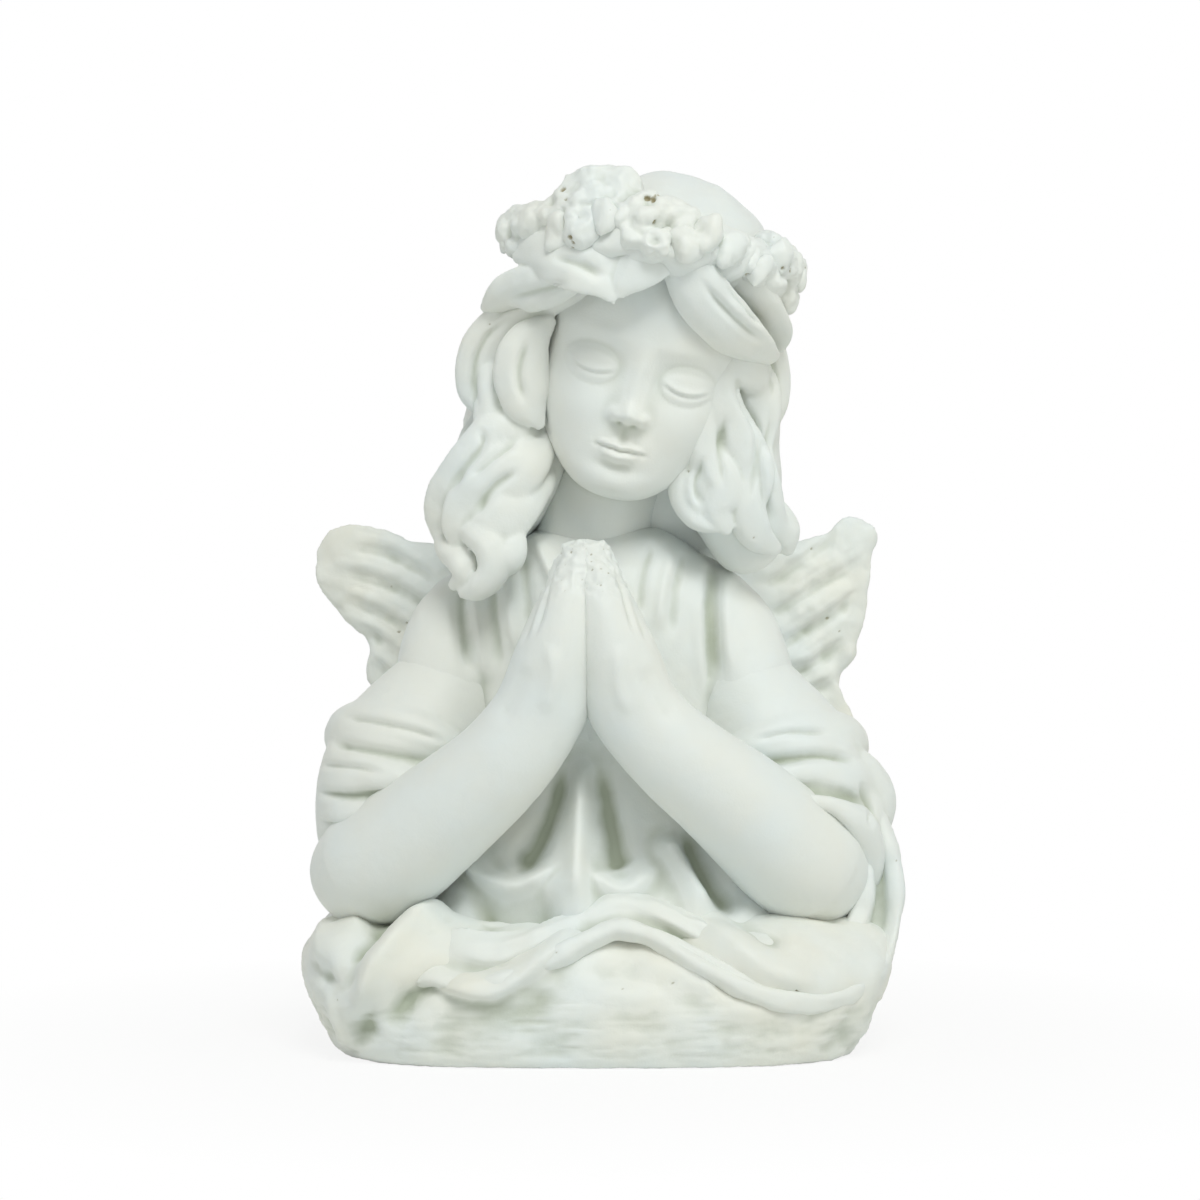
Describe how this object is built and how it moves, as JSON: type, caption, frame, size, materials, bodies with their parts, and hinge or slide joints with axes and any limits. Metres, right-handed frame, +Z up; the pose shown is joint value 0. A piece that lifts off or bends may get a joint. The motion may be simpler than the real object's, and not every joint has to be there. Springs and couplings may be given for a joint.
{
  "type": "angel figurine",
  "caption": "Small white cast-resin bust of a praying angel with a flower wreath, wings and a draped base that stands on a flat rim.",
  "frame": {"origin": "middle of the underside, on the plane of the resting rim", "axes": "+Z up, the figure faces -Y, +X towards the angel's left hand"},
  "size_m": [0.082, 0.0534, 0.1194],
  "materials": {
    "cast_resin": "fine cast surface, semi-matte, with pinholes and a little dust in the hollows",
    "steel_pin": "plain drawn rod"
  },
  "bodies": {
    "root": {"draped_base": "cast_resin", "base_plug": "cast_resin", "hem_swag": "cast_resin", "torso": "cast_resin", "right_sleeve": "cast_resin", "left_sleeve": "cast_resin", "right_praying_arm": "cast_resin", "left_praying_arm": "cast_resin", "head": "cast_resin", "fringe_locks": "cast_resin", "back_hair": "cast_resin", "right_side_hair": "cast_resin", "left_side_hair": "cast_resin", "wreath_band": "cast_resin", "wreath_flowers": "cast_resin", "wreath_leaves": "cast_resin", "right_wing": "cast_resin", "left_wing": "cast_resin", "neck_pin": "steel_pin", "elbow_pins": "steel_pin", "wing_pins": "steel_pin"}
  },
  "joints": []
}
